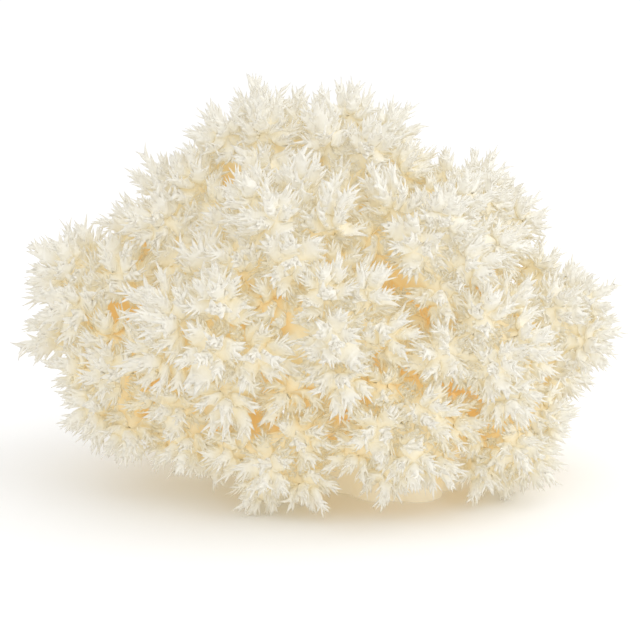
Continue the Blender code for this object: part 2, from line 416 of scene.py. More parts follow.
@dataclass
class Growth:
    """Grows all limbs into the space that they share, as the solids were grown."""

    directions: int = 70
    spacing: float = 11.2
    ring_clearance: float = math.radians(3)
    trunk_clearance: float = 1.0
    room: float = 0.35
    least_end: float = 0.5
    ground: float = 0.25
    near: float = 50.0
    egg_centre: Vector = field(default_factory=lambda: Vector((-20.0, 0.0, 50.0)))
    egg_half: tuple[float, float, float] = (92.0, 66.0, 70.0)
    innermost: float = 0.5
    crowns: dict[str, tuple] = field(
        default_factory=lambda: {
            "limb_left": (((-81, 6, 52), 13, 1.18),),
            "limb_left_low": (((-74, -15, 34), 9, 1.06),),
            "limb_left_shoulder": (((-57, 6, 73), 12, 1.1),),
            "limb_crown": (((-36, 10, 91), 13, 1.06), ((-12, 6, 90), 13, 1.02)),
            "limb_right_upper": (((21, 6, 73), 13, 0.98),),
            "limb_right": (((43, -1, 47), 12, 0.98),),
            "limb_right_low": (((31, -20, 23), 9, 0.96),),
            "limb_front_left": (((-46, -32, 52), 13, 1.12),),
            "limb_front_left_low": (((-55, -22, 30), 8, 1.0),),
            "limb_front_upper": (((-29, -25, 73), 13, 1.05), ((11, -22, 73), 12, 0.98)),
            "limb_front_centre": (((-18, -35, 53), 13, 1.05),),
            "limb_front_low": (((-31, -31, 22), 9, 1.0),),
            "limb_front_base": (((2, -38, 29), 9, 0.96),),
            "limb_front_right": (((21, -31, 46), 12, 0.98),),
            "limb_back_left": (((-54, 30, 54), 13, 1.18),),
            "limb_back_left_low": (((-40, 29, 26), 10, 1.1),),
            "limb_back_upper": (((-25, 34, 77), 13, 1.14), ((15, 33, 62), 13, 1.1)),
            "limb_back_low": (((-6, 37, 30), 12, 1.12),),
            "limb_back_right": (((35, 26, 32), 12, 1.1),),
        }
    )

    def limbs(self) -> list[Limb]:
        """Grows all limbs, the fingers of their fronds cut to the room that they have.

        Returns:
            The limbs.
        """
        limbs = self.bare_limbs()
        balls = [Ball(PLAN.trunk_centre, PLAN.trunk_radius + self.trunk_clearance)]
        for limb in limbs:
            balls += limb.balls()
        kept: list[Frond] = []
        for frond in self.wanted(limbs, random.Random(SEED)):
            if self.has_room(frond, kept, balls):
                kept.append(frond)
        while True:
            shares = []
            for frond in kept:
                self.set_walls(frond, kept, balls)
                fits = self.stem_fits(frond)
                shares.append(self.free_share(frond, frond.fingers[-1]) if fits else 0.0)
            if min(shares) >= self.least_end:
                break
            kept.pop(shares.index(min(shares)))
        for frond in kept:
            for finger in frond.fingers:
                finger.tip = finger.start.lerp(finger.tip, self.free_share(frond, finger))
            frond.knob.fronds.append(frond)
        return limbs

    def bare_limbs(self) -> list[Limb]:
        """Sets out all limbs before their fronds, their stubs turned apart round the trunk.

        Returns:
            The limbs.
        """
        aims: dict[Any, Vector] = {}
        for name, crowns in self.crowns.items():
            middle = mean([Vector(place) for place, _, _ in crowns])
            aims[name] = (middle - PLAN.trunk_centre).normalized()
        spread_apart(aims, PLAN.stub_spacing)
        return [Limb(name, aims[name], crowns) for name, crowns in self.crowns.items()]

    def wanted(self, limbs: list[Limb], chance: random.Random) -> list[Frond]:
        """Sets out every frond that could grow.

        Args:
            limbs: The bare limbs.
            chance: The source of turns and lengths.

        Returns:
            The fronds, the outermost first.
        """
        found = []
        for knob in [knob for limb in limbs for knob in limb.knobs]:
            back = knob.bough[-1] - knob.centre
            spread = math.asin(PLAN.stalk_radius / knob.radius) + self.ring_clearance
            spread += math.asin(FROND.stem_rings[0][1] * knob.size / knob.radius)
            for axis in self.tried_directions(chance):
                turn = chance.uniform(0, math.tau)
                if axis.angle(back) >= spread:
                    frond = Frond(knob, axis, turn)
                    frond.grow(chance)
                    found.append(frond)
        outer = [frond for frond in found if self.outness(frond) > self.innermost]
        return sorted(outer, key=self.outness)[::-1]

    def tried_directions(self, chance: random.Random) -> Points:
        """Sets out the directions in which a knob's fronds are tried.

        Args:
            chance: The source of their turn.

        Returns:
            The directions.
        """
        turn = Matrix.Rotation(chance.uniform(0, math.tau), 3, "Z")
        tip = Matrix.Rotation(chance.uniform(0, math.pi), 3, "X")
        return [turn @ (tip @ way) for way in even_directions(self.directions)]

    def outness(self, frond: Frond) -> float:
        """Returns how far out the frond's tip is: 1 on the egg round the cluster."""
        away = frond.point(*Reach.END.value, 0.0) - self.egg_centre
        return Vector([part / half for part, half in zip(away, self.egg_half)]).length

    def set_walls(self, frond: Frond, others: list[Frond], balls: list[Ball]) -> None:
        """Keeps the planes that a frond stays behind.

        Args:
            frond: The frond.
            others: The fronds that it shares the space with.
            balls: The balls that it stays clear of.
        """
        frond.walls = [(Vector((0, 0, -1)), frond.middle.z - self.ground)]
        for other in others:
            away = other.middle - frond.middle
            if 0 < away.length < self.near:
                share = away.length * frond.size / (frond.size + other.size)
                frond.walls.append((away.normalized(), share - self.room))
        for ball in balls:
            away = ball.centre - frond.middle
            if away.length < self.near and ball.centre != frond.knob.centre:
                frond.walls.append((away.normalized(), away.length - ball.radius - self.room))

    def stem_fits(self, frond: Frond) -> bool:
        """Returns whether the stem above the knob is behind every wall."""
        points = [point - frond.middle for ring in frond.rings[1:] for point in ring]
        return all(p.dot(normal) <= limit for normal, limit in frond.walls for p in points)

    def free_share(self, frond: Frond, finger: Finger) -> float:
        """Measures how much of a finger is behind every wall.

        Args:
            frond: The frond, with its walls.
            finger: One of its fingers.

        Returns:
            The share of the finger's length.
        """
        share = 1.0
        for normal, limit in frond.walls:
            reach = (finger.tip - finger.start).dot(normal)
            if reach > 0:
                share = min(share, (limit - (finger.start - frond.middle).dot(normal)) / reach)
        return max(0.0, share)

    def has_room(self, frond: Frond, others: list[Frond], balls: list[Ball]) -> bool:
        """Tells whether a frond's stem is clear of the balls and of the other fronds.

        Args:
            frond: The frond.
            others: The fronds that are there already.
            balls: The balls that it stays clear of.

        Returns:
            Whether it is clear.
        """
        for other in others:
            least = self.spacing * (frond.size + other.size) / 2
            if (frond.middle - other.middle).length < least:
                return False
        self.set_walls(frond, [], balls)
        return self.stem_fits(frond)


@dataclass
class Skin:
    """A surface as arrays: points in millimetres, faces, and what is known of each."""

    points: np.ndarray
    quads: np.ndarray
    tris: np.ndarray
    finger: np.ndarray
    along: np.ndarray
    tone: np.ndarray


@dataclass
class Enclosure:
    """Tells how open a place in the cluster is, by looking round it."""

    reach: float = 45.0
    looks: int = 32
    lift: float = 4.5
    grazing: float = 0.1
    places: Points = field(default_factory=list)
    faces: list[list[int]] = field(default_factory=list)
    ways: Points = field(default_factory=list)
    tree: BVHTree | None = None

    def __post_init__(self) -> None:
        """Sets out the directions that it looks in."""
        self.ways = even_directions(self.looks)

    def take_in(self, points: Points, faces: list[list[int]]) -> None:
        """Adds a surface that closes places off.

        Args:
            points: Its points.
            faces: The numbers of each face's points.
        """
        first = len(self.places)
        self.places += points
        self.faces += [[first + i for i in face] for face in faces]
        self.tree = None

    def openness(self, place: Vector, normal: Vector) -> float:
        """Returns how open a place is, from 0 to 1.

        Args:
            place: A point of a surface.
            normal: The direction that the surface faces there.

        Returns:
            The share of the view that is free, a far surface closing less of it than a near one.
        """
        if self.tree is None:
            self.tree = BVHTree.FromPolygons(self.places, self.faces)
        start = place + normal * self.lift
        seen = weight = 0.0
        for way in self.ways:
            facing = way.dot(normal)
            if facing > self.grazing:
                hit = self.tree.ray_cast(start, way, self.reach)[3]
                seen += facing * (1.0 if hit is None else hit / self.reach)
                weight += facing
        return seen / weight if weight else 1.0


@dataclass
class ToneField:
    """How open the cluster is from place to place, averaged over small blocks of space."""

    block: float = 4.5
    margin: int = 3
    rounds: int = 2
    kept: float = 0.5

    def __post_init__(self) -> None:
        """Starts with no places."""
        self.places: list[tuple[float, ...]] = []
        self.opens: list[float] = []
        self.low = np.zeros(3)
        self.grid = np.zeros((1, 1, 1))

    def add(self, place: Vector, openness: float) -> None:
        """Takes in the openness of a place."""
        self.places.append(place[:])
        self.opens.append(openness)

    def settle(self) -> None:
        """Averages what was taken in over the blocks, and evens each out with its neighbours."""
        places = np.array(self.places)
        self.low = places.min(0) - self.margin * self.block
        cells = np.floor((places - self.low) / self.block).astype(int)
        shape = tuple(cells.max(0) + 1 + self.margin)
        total, count = np.zeros(shape), np.zeros(shape)
        np.add.at(total, tuple(cells.T), self.opens)
        np.add.at(count, tuple(cells.T), 1.0)
        for _ in range(self.rounds):
            for axis in range(3):
                total = self.blur(total, axis)
                count = self.blur(count, axis)
        self.grid = total / np.maximum(count, TINY)

    def blur(self, grid: np.ndarray, axis: int) -> np.ndarray:
        """Returns the grid with each block mixed with the next ones along an axis."""
        beside = np.roll(grid, 1, axis) + np.roll(grid, -1, axis)
        return grid * self.kept + beside * (1 - self.kept) / 2

    def at(self, points: np.ndarray) -> np.ndarray:
        """Reads the openness at points, smooth from block to block.

        Args:
            points: The points, in rows.

        Returns:
            The openness of each.
        """
        spot = (points - self.low) / self.block - 0.5
        first = np.clip(np.floor(spot).astype(int), 0, np.array(self.grid.shape) - 2)
        part = np.clip(spot - first, 0, 1)
        found = np.zeros(len(points))
        for corner in np.ndindex(2, 2, 2):
            weight = np.where(np.array(corner), part, 1 - part).prod(1)
            found += weight * self.grid[tuple((first + corner).T)]
        return found


@dataclass(frozen=True)
class Profile:
    """How a finger narrows: each ring's place along it and its width, of the face it grows from.

    It is broader across than it is thick, and it bends away from the lean of what carries it.
    """

    rings: tuple[tuple[float, float], ...]
    broad: float
    thin: float
    bend: float


FROND_FINGER = Profile(((0.18, 1.05), (0.42, 1.0), (0.64, 0.85), (0.82, 0.5)), 2.35, 1.4, 0.16)
BUD = Profile(((0.25, 0.8), (0.6, 0.62), (0.85, 0.34)), 1.25, 1.25, 0.0)
SPRIG = Profile(((0.15, 0.72), (0.4, 0.56), (0.65, 0.42), (0.86, 0.25)), 1.2, 1.1, 0.1)


@dataclass
class Cage:
    """Builds the coarse closed mesh of one limb, and rounds it."""

    limb: Limb
    sunk: float = 1.2
    least_finger: float = 1.2
    least_bud: float = 0.9
    bud_length: tuple[float, float] = (2.2, 1.9)
    sprig_length: float = 10.0
    sprig_lift: float = 0.5
    outward: Vector = field(default_factory=lambda: Vector((-20.0, 0.0, 30.0)))
    fullness: float = 7.0
    full_height: float = 13.0
    looseness: float = 3.0
    sway: float = 0.13
    breadth_spread: tuple[float, float] = (0.8, 1.25)
    notch_lift: float = 6.0
    notch_half: float = 0.5
    notch_from: float = 0.6
    swell_from: float = 0.9
    stalk_clearance: float = math.pi / 4
    bare_radii: float = 2.0
    square_by: float = 0.5
    chance: random.Random = field(default_factory=lambda: random.Random(SEED))
    mesh: bmesh.types.BMesh = field(default_factory=bmesh.new)
    fingers: list[Finger] = field(default_factory=list)
    tips: list[tuple[bmesh.types.BMVert, Vector]] = field(default_factory=list)

    def __post_init__(self) -> None:
        """Makes the layers that tell a face's finger and a point's place along it."""
        self.along = self.mesh.verts.layers.float.new("along")
        self.owner = self.mesh.faces.layers.int.new("finger")

    def build(self) -> None:
        """Builds the stalk, the fork, the knobs and the fronds."""
        limb, thickness = self.limb, PLAN.stalk_radius
        foot = self.add_ring(limb.start - limb.aim * self.sunk, limb.aim, thickness)
        bmesh.ops.contextual_create(self.mesh, geom=foot)
        leaves = [foot]
        if limb.fork:
            back = (limb.stalk[-1] - limb.fork).normalized()
            inlet = self.add_ring(limb.stalk[-1], back, thickness)
            thickness = PLAN.bough_radius
            leaves = []
            for knob in limb.knobs:
                out = (knob.bough[0] - limb.fork).normalized()
                leaves.append(self.add_ring(knob.bough[0], out, thickness))
            self.hull_joint([inlet] + leaves)
            self.add_tube(limb.stalk, PLAN.stalk_radius, foot, inlet)
        for leave, knob in zip(leaves, limb.knobs):
            back = (knob.bough[-1] - knob.centre).normalized()
            inlet = self.add_ring(knob.bough[-1], back, thickness)
            roots = [self.add_points(frond.rings[0]) for frond in knob.fronds]
            self.hull_joint([inlet] + roots)
            self.add_tube(knob.bough, thickness, leave, inlet)
            for root, frond in zip(roots, knob.fronds):
                self.add_frond(root, frond)
        bmesh.ops.recalc_face_normals(self.mesh, faces=self.mesh.faces)
        self.add_buds()
        self.fill_out()
        self.mesh.normal_update()

    def add_points(self, points: Points) -> Verts:
        """Adds points to the mesh."""
        return [self.mesh.verts.new(point) for point in points]

    def add_ring(self, centre: Vector, axis: Vector, radius: float) -> Verts:
        """Adds a regular ring to the mesh.

        Args:
            centre: Its centre.
            axis: The direction that it is square to.
            radius: Its radius.

        Returns:
            Its points.
        """
        side = axis.orthogonal().normalized()
        cross = axis.cross(side).normalized()
        turns = [i * math.tau / PLAN.stalk_sides for i in range(PLAN.stalk_sides)]
        ways = [side * math.cos(turn) + cross * math.sin(turn) for turn in turns]
        return self.add_points([centre + way * radius for way in ways])

    def join_rings(self, rings: list[Verts]) -> None:
        """Skins a tube, each pair of its rings with the least twist.

        Args:
            rings: The rings that it goes through.
        """
        for one, other in zip(rings, rings[1:]):
            turned = [row[i:] + row[:i] for row in (other, other[::-1]) for i in range(len(row))]
            near = min(
                turned,
                key=lambda row: sum((p.co - q.co).length_squared for p, q in zip(one, row)),
            )
            for i in range(len(one)):
                self.mesh.faces.new((one[i - 1], one[i], near[i], near[i - 1]))

    def hull_joint(self, rings: list[Verts]) -> None:
        """Wraps the rings of a joint in their hull, and opens it at each ring.

        Args:
            rings: The rings.
        """
        verts = [vert for ring in rings for vert in ring]
        hull = bmesh.ops.convex_hull(self.mesh, input=verts, use_existing_faces=False)
        sets = [set(ring) for ring in rings]
        faces = [item for item in hull["geom"] if isinstance(item, bmesh.types.BMFace)]
        inside = [face for face in faces if any(set(face.verts) <= ring for ring in sets)]
        bmesh.ops.delete(self.mesh, geom=inside, context="FACES_ONLY")
        loose = [edge for edge in self.mesh.edges if not edge.link_faces]
        bmesh.ops.delete(self.mesh, geom=loose, context="EDGES")

    def add_tube(self, points: Points, radius: float, first: Verts, last: Verts) -> None:
        """Skins a tube along a run.

        Args:
            points: The points of the run.
            radius: Its radius.
            first: The ring at its start, which is there already.
            last: The ring at its end, which is there already.
        """
        rings = [first]
        for before, point, after in zip(points, points[1:], points[2:]):
            rings.append(self.add_ring(point, (after - before).normalized(), radius))
        self.join_rings(rings + [last])

    def add_frond(self, root: Verts, frond: Frond) -> None:
        """Builds a frond's stem, with a finger on each of its faces.

        Args:
            root: Its root ring, which is there already.
            frond: The frond.
        """
        rings = [root] + [self.add_points(ring) for ring in frond.rings[1:]]
        for finger in frond.fingers:
            if (finger.tip - finger.start).length < self.least_finger:
                way = (finger.start - frond.middle).normalized() + frond.axis
                finger.tip = finger.start + way.normalized() * self.least_finger
            finger.tip += self.notch(finger.tip)
            base = [rings[level][i] for level, i in finger.corners]
            self.add_finger(base, finger, frond.axis, FROND_FINGER)

    def notch(self, tip: Vector) -> Vector:
        """Draws a finger's tip out into the notch between the two crowns of a limb.

        Args:
            tip: The tip.

        Returns:
            How far it moves.
        """
        if not self.limb.fork:
            return Vector()
        one, other = (knob.centre for knob in self.limb.knobs)
        along = other - one
        share = (tip - one).dot(along) / along.length_squared
        out = (one.lerp(other, 0.5) - self.limb.fork).normalized()
        height = (tip - one.lerp(other, share)).dot(out) / self.limb.knobs[0].radius
        near = max(0.0, 1 - abs(share - 0.5) / self.notch_half)
        return out * (self.notch_lift * near * min(1.0, max(0.0, height - self.notch_from)))

    def close_off(self, enclosure: Enclosure) -> None:
        """Adds the cage to what closes places off.

        Args:
            enclosure: What closes places off.
        """
        self.mesh.verts.index_update()
        points = [vert.co.copy() for vert in self.mesh.verts]
        enclosure.take_in(points, [[v.index for v in face.verts] for face in self.mesh.faces])

    def add_buds(self) -> None:
        """Draws the plain faces of the knobs out to buds, and those of the stalks to sprigs."""
        limb = self.limb
        plain = [face for face in self.mesh.faces if not face[self.owner]]
        for face in plain:
            centre = face.calc_center_median()
            girth = 2 * face.calc_area() / face.calc_perimeter()
            away = (centre - self.outward).normalized()
            if girth < self.least_bud or face.normal.dot(away) < 0:
                continue
            if (centre - limb.start).length < PLAN.stalk_radius * self.bare_radii:
                continue
            size = limb.knobs[0].size
            if len(face.verts) == 3:
                way, profile = face.normal.copy(), BUD
                length = self.bud_length[0] + self.bud_length[1] * girth
            else:
                way, profile = (face.normal + away * self.sprig_lift).normalized(), SPRIG
                length = self.sprig_length
            base = list(face.verts)
            self.mesh.faces.remove(face)
            finger = Finger((), centre, centre + way * length * size, size)
            self.add_finger(base, finger, away, profile)

    def fill_out(self) -> None:
        """Swells the flesh between the fronds; a crown of larger fronds stays looser."""
        for vert in self.mesh.verts:
            knob = min(self.limb.knobs, key=lambda ball: (vert.co - ball.centre).length_squared)
            away = vert.co - knob.centre
            height = (away.length - knob.radius * self.swell_from) / knob.size
            back = (knob.bough[-1] - knob.centre).normalized()
            if 0 < height < self.full_height and away.angle(back) > self.stalk_clearance:
                share = 1 - height / self.full_height
                swell = self.fullness * knob.size * share * (1 - vert[self.along]) ** 2
                swell *= 1 - self.looseness * (knob.size - 1)
                vert.co += away.normalized() * swell

    def add_finger(self, base: Verts, finger: Finger, lean: Vector, profile: Profile) -> None:
        """Draws a face out to a finger's tip, through rings that narrow.

        Args:
            base: The corners of the face.
            finger: The finger.
            lean: The axis of what carries it.
            profile: Its form.
        """
        self.fingers.append(finger)
        number = len(self.fingers)
        reach = finger.tip - finger.start
        axis = reach.normalized()
        flat = lean - axis * lean.dot(axis)
        droop = flat * (profile.bend * reach.length)
        flat = flat.normalized()
        finger.across = axis.cross(flat)
        droop += finger.across * reach.length * self.chance.uniform(-self.sway, self.sway)
        broad = profile.broad * self.chance.uniform(*self.breadth_spread)
        spread = [point.co - finger.start for point in base]
        last, corners = base, len(base)
        for t, width in profile.rings:
            centre = finger.start + reach * t - droop * math.sin(math.pi * t)
            ring = []
            for offset in spread:
                offset = offset - axis * offset.dot(axis) * min(1.0, t / self.square_by)
                depth = flat * offset.dot(flat)
                offset = (offset - depth) * broad + depth * profile.thin
                vert = self.mesh.verts.new(centre + offset * width)
                vert[self.along] = t
                ring.append(vert)
            for i in range(corners):
                face = self.mesh.faces.new((last[i - 1], last[i], ring[i], ring[i - 1]))
                face[self.owner] = number
            last = ring
        tip = self.mesh.verts.new(finger.tip)
        tip[self.along] = 1.0
        self.tips.append((tip, finger.tip))
        for i in range(corners):
            face = self.mesh.faces.new((last[i - 1], last[i], tip))
            face[self.owner] = number

    def rounded(self) -> Skin:
        """Smooths the cage once, and puts its finger tips back in their places.

        Returns:
            The skin.
        """
        tips = [(vert.index, place) for vert, place in self.tips]
        fine = modified(self.mesh, {"SUBSURF": {"levels": 1}})
        points = numbers(fine.vertices, "co", 3)
        for index, place in tips:
            points[index] = place
        skin = Skin(
            points,
            numbers(fine.loops, "vertex_index", kind=int).reshape(-1, 4),
            np.zeros((0, 3), int),
            numbers(fine.attributes["finger"].data, "value").astype(int),
            numbers(fine.attributes["along"].data, "value"),
            np.zeros(len(points)),
        )
        bpy.data.meshes.remove(fine)
        return skin


@dataclass
class Teeth:
    """Plants the small curved teeth on a skin.

    The lengths are those of a tooth at the foot and at the end of a finger of size 1. A tooth
    has its full length where its place along the finger, times length_rise, is 1.
    """

    shortest: float = 1.2
    longest: float = 3.1
    length_rise: float = 1.4
    length_spread: float = 0.35
    stalk_size: float = 0.8
    least_area: float = 0.12
    most_shared: tuple[int, int] = (1, 2)
    share: tuple[float, float] = (0.3, 0.8)
    full_share_at: float = 0.5
    face_share: float = 0.24
    all_round_from: float = 0.75
    least_tone: float = 0.0
    waist_at: float = 0.45
    waist: float = 0.72
    widest_waist: float = 0.66
    forward: float = 1.6
    curl: float = 0.35
    jitter: float = 0.3
    apex_jitter: float = 0.5
    pale: float = 0.24

    def plant(self, skin: Skin, fingers: list[Finger], dice: np.random.Generator) -> Skin:
        """Draws teeth out of a scatter of the skin's faces.

        Args:
            skin: The skin.
            fingers: The fingers that its faces belong to.
            dice: The source of the scatter, lengths and directions.

        Returns:
            The skin with its teeth.
        """
        corners = skin.points[skin.quads]
        normal = np.cross(corners[:, 2] - corners[:, 0], corners[:, 3] - corners[:, 1])
        area = np.linalg.norm(normal, axis=1) / 2
        normal /= np.maximum(area, TINY)[:, None] * 2
        still = [(0.0, 0.0, 0.0)]
        breadths = np.array(still + [finger.across[:] for finger in fingers])
        margin = np.abs((normal * breadths[skin.finger]).sum(1))
        margin[skin.finger == 0] = 1.0
        chosen = self.scatter(skin, area, margin, dice)
        rest = np.ones(len(skin.quads), bool)
        rest[chosen] = False

        axes = np.array(still + [(f.tip - f.start).normalized()[:] for f in fingers])
        sizes = np.array([self.stalk_size] + [finger.size for finger in fingers])
        owner = skin.finger[chosen]
        place = skin.along[skin.quads[chosen]].mean(1)
        rise = np.minimum(1, place * self.length_rise)
        length = self.shortest + (self.longest - self.shortest) * rise
        length *= sizes[owner]
        length *= 1 + dice.uniform(-self.length_spread, self.length_spread, len(chosen))
        stray = dice.normal(0, self.jitter, (len(chosen), 3))
        out = self.unit(normal[chosen] + axes[owner] * self.forward + stray)
        end = self.unit(out + axes[owner] * self.curl + stray * self.apex_jitter)

        middle = corners[chosen].mean(1)
        arms = corners[chosen] - middle[:, None]
        arms -= out[:, None] * (arms * out[:, None]).sum(2, keepdims=True)
        half = np.linalg.norm(arms, axis=2).mean(1)
        scale = np.minimum(self.waist, self.widest_waist / np.maximum(half, TINY))
        waist = middle + out * (length * self.waist_at)[:, None]
        ring = waist[:, None] + arms * scale[:, None, None]
        apex = waist + end * (length * (1 - self.waist_at))[:, None]

        count, first = len(chosen), len(skin.points)
        rings = first + np.arange(count * 4).reshape(count, 4)
        apexes = first + count * 4 + np.arange(count)
        feet = skin.quads[chosen]
        walls = [
            np.stack((feet[:, i], feet[:, (i + 1) % 4], rings[:, (i + 1) % 4], rings[:, i]), 1)
            for i in range(4)
        ]
        spires = [np.stack((rings[:, i], rings[:, (i + 1) % 4], apexes), 1) for i in range(4)]
        # the teeth take the painted shade of the skin under them, paler toward their apex
        tone = skin.tone[feet].mean(1)
        return Skin(
            np.concatenate((skin.points, ring.reshape(-1, 3), apex)),
            np.concatenate([skin.quads[rest]] + walls),
            np.concatenate(spires),
            np.concatenate([skin.finger[rest]] + [owner] * 8),
            np.concatenate((skin.along, np.repeat(place, 4), place)),
            np.concatenate((skin.tone, np.repeat(tone + self.pale / 2, 4), tone + self.pale)),
        )

    def scatter(
        self, skin: Skin, area: np.ndarray, margin: np.ndarray, dice: np.random.Generator
    ) -> np.ndarray:
        """Chooses faces for teeth, in a random order, with few that touch.

        Args:
            skin: The skin.
            area: The area of each face.
            margin: How far each face is turned to the side of its finger, from 0 to 1.
            dice: The source of the order.

        Returns:
            The numbers of the faces.
        """
        taken = np.zeros(len(skin.points), bool)
        place = skin.along[skin.quads].mean(1)
        tone = skin.tone[skin.quads].mean(1)
        low, high = self.share
        share = low + (high - low) * np.minimum(1, place / self.full_share_at)
        sided = self.face_share + (1 - self.face_share) * margin
        share *= np.where(place > self.all_round_from, 1.0, sided)
        wanted = (dice.random(len(skin.quads)) < share) & (tone > self.least_tone)
        wanted &= area > self.least_area
        crowd = np.where(place > self.full_share_at, self.most_shared[1], self.most_shared[0])
        chosen = []
        for face in dice.permutation(np.flatnonzero(wanted)):
            feet = skin.quads[face]
            if taken[feet].sum() <= crowd[face]:
                chosen.append(face)
                taken[feet] = True
        return np.array(sorted(chosen))

    def unit(self, rows: np.ndarray) -> np.ndarray:
        """Returns the rows at length 1."""
        return rows / np.maximum(np.linalg.norm(rows, axis=1, keepdims=True), TINY)


class Value:
    """A number that changes over a surface. An expression on it adds its Math nodes."""

    def __init__(self, sheet: "Sheet", socket: bpy.types.NodeSocket) -> None:
        """Wraps a socket of a sheet's node tree."""
        self.sheet = sheet
        self.socket = socket

    def maths(self, operation: str, one: Any, other: Any) -> "Value":
        """Works out a Math node on two values.

        Args:
            operation: The node's operation.
            one: The first value.
            other: The second value.

        Returns:
            The outcome.
        """
        node = self.sheet.node("ShaderNodeMath", {"operation": operation}, {0: one, 1: other})
        return Value(self.sheet, node.outputs[0])

    def __add__(self, other: Any) -> "Value":
        """Returns the sum."""
        return self.maths("ADD", self, other)

    def __radd__(self, other: Any) -> "Value":
        """Returns the sum, with this value second."""
        return self.maths("ADD", other, self)

    def __sub__(self, other: Any) -> "Value":
        """Returns the difference."""
        return self.maths("SUBTRACT", self, other)

    def __rsub__(self, other: Any) -> "Value":
        """Returns the difference, with this value second."""
        return self.maths("SUBTRACT", other, self)

    def __mul__(self, other: Any) -> "Value":
        """Returns the product."""
        return self.maths("MULTIPLY", self, other)

    def __rmul__(self, other: Any) -> "Value":
        """Returns the product, with this value second."""
        return self.maths("MULTIPLY", other, self)


class Sheet:
    """A material and its node tree."""

    def __init__(self, name: str) -> None:
        """Makes the material, with its surface shader.

        Args:
            name: Its name.
        """
        self.material = bpy.data.materials.new(name)
        self.material.use_nodes = True
        self.tree = self.material.node_tree
        self.surface = self.tree.nodes["Principled BSDF"]

    def node(self, kind: str, settings: dict[str, Any], sockets: dict[Any, Any]) -> bpy.types.Node:
        """Adds a node.

        Args:
            kind: The node's type.
            settings: Its settings, a ramp's stops among them.
            sockets: The values or links of its inputs, by name or number.

        Returns:
            The node.
        """
        node = self.tree.nodes.new(kind)
        for name, value in settings.items():
            if name == "stops":
                self.set_stops(node.color_ramp, value)
            else:
                setattr(node, name, value)
        for name, value in sockets.items():
            self.feed(node.inputs[name], value)
        return node

    def feed(self, socket: bpy.types.NodeSocket, value: Any) -> None:
        """Feeds a socket.

        Args:
            socket: The socket.
            value: The value or output to link to it, or the constant to set it to.
        """
        if isinstance(value, Value):
            value = value.socket
        if isinstance(value, bpy.types.NodeSocket):
            self.tree.links.new(value, socket)
        else:
            socket.default_value = value

    def set_stops(self, ramp: bpy.types.ColorRamp, stops: Stops) -> None:
        """Sets a ramp's stops.

        Args:
            ramp: The ramp.
            stops: The place and the colour of each.
        """
        while len(ramp.elements) < len(stops):
            ramp.elements.new(1.0)
        for element, (place, colour) in zip(ramp.elements, stops):
            element.position = place
            element.color = (*colour, 1.0)

    def ramp(self, stops: Stops, shade: Value) -> bpy.types.NodeSocket:
        """Returns the colours that a ramp has over a value."""
        return self.node("ShaderNodeValToRGB", {"stops": stops}, {"Fac": shade}).outputs["Color"]

    def texture(self, kind: str, output: str, sockets: dict[str, Any]) -> Value:
        """Returns one output of a texture as a value."""
        return Value(self, self.node(kind, {}, sockets).outputs[output])

    def attribute(self, name: str, output: str) -> bpy.types.NodeSocket:
        """Returns an attribute of the mesh."""
        node = self.node("ShaderNodeAttribute", {"attribute_name": name}, {})
        return node.outputs[output]

    def dress(self, surface: dict[str, Any]) -> bpy.types.Material:
        """Feeds the surface shader.

        Args:
            surface: The values, outputs and constants for its sockets, by name.

        Returns:
            The material.
        """
        for name, value in surface.items():
            self.feed(self.surface.inputs[name], value)
        return self.material


@dataclass(frozen=True)
class FleshFinish:
    """Moist translucent flesh, coloured with painted shade: cream-white where it is open, warm tan
    where it is deep.

    Its glow is painted light: a faint warm emission all over, warmest in the deep places, that
    stands in for the light real flesh carries into its hollows and its shade.
    """

    name: str
    stops: Stops = (
        (0.0, (0.78, 0.59, 0.30)),
        (0.1, (0.76, 0.64, 0.42)),
        (0.35, (0.70, 0.655, 0.52)),
        (0.65, (0.662, 0.655, 0.588)),
        (1.0, (0.648, 0.662, 0.645)),
    )
    glow_stops: Stops = (
        (0.0, (0.43, 0.285, 0.115)),
        (0.12, (0.425, 0.325, 0.16)),
        (0.4, (0.44, 0.362, 0.22)),
        (0.8, (0.442, 0.365, 0.24)),
    )
    glow: float = 0.56
    grain_scale: float = 1.3
    grain_detail: float = 3.0
    grain_roughness: float = 0.6
    grain_shade: float = 0.16
    roughness: float = 0.42
    roughness_spread: float = 0.16
    bump: float = 0.12
    bump_height: float = 0.0003
    specular: float = 0.2

    def material(self) -> bpy.types.Material:
        """Makes the material.

        Returns:
            The material.
        """
        sheet = Sheet(self.name)
        tone = Value(sheet, sheet.attribute("tone", "Fac"))
        strand = sheet.attribute("strand", "Vector")
        texture = {
            "Vector": strand,
            "Scale": self.grain_scale,
            "Detail": self.grain_detail,
            "Roughness": self.grain_roughness,
        }
        grain = sheet.texture("ShaderNodeTexNoise", "Fac", texture)
        relief = {
            "Strength": self.bump,
            "Distance": self.bump_height,
            "Height": self.height(sheet, strand, grain),
        }
        smoothest = self.roughness - self.roughness_spread / 2
        surface = {
            # the base colour is painted shade over how open the flesh is, with a random grain
            "Base Color": sheet.ramp(self.stops, tone + (grain - 0.5) * self.grain_shade),
            "Roughness": grain * self.roughness_spread + smoothest,
            "Normal": sheet.node("ShaderNodeBump", {}, relief).outputs["Normal"],
            "Specular IOR Level": self.specular,
        }
        # the emission is painted light: a warm glow by the same openness that fills the shade
        if self.glow:
            surface["Emission Color"] = sheet.ramp(self.glow_stops, tone)
            surface["Emission Strength"] = self.glow
        return sheet.dress(surface)

    def height(self, sheet: Sheet, strand: bpy.types.NodeSocket, grain: Value) -> Value:
        """Returns the height of the relief: that of the grain."""
        return grain


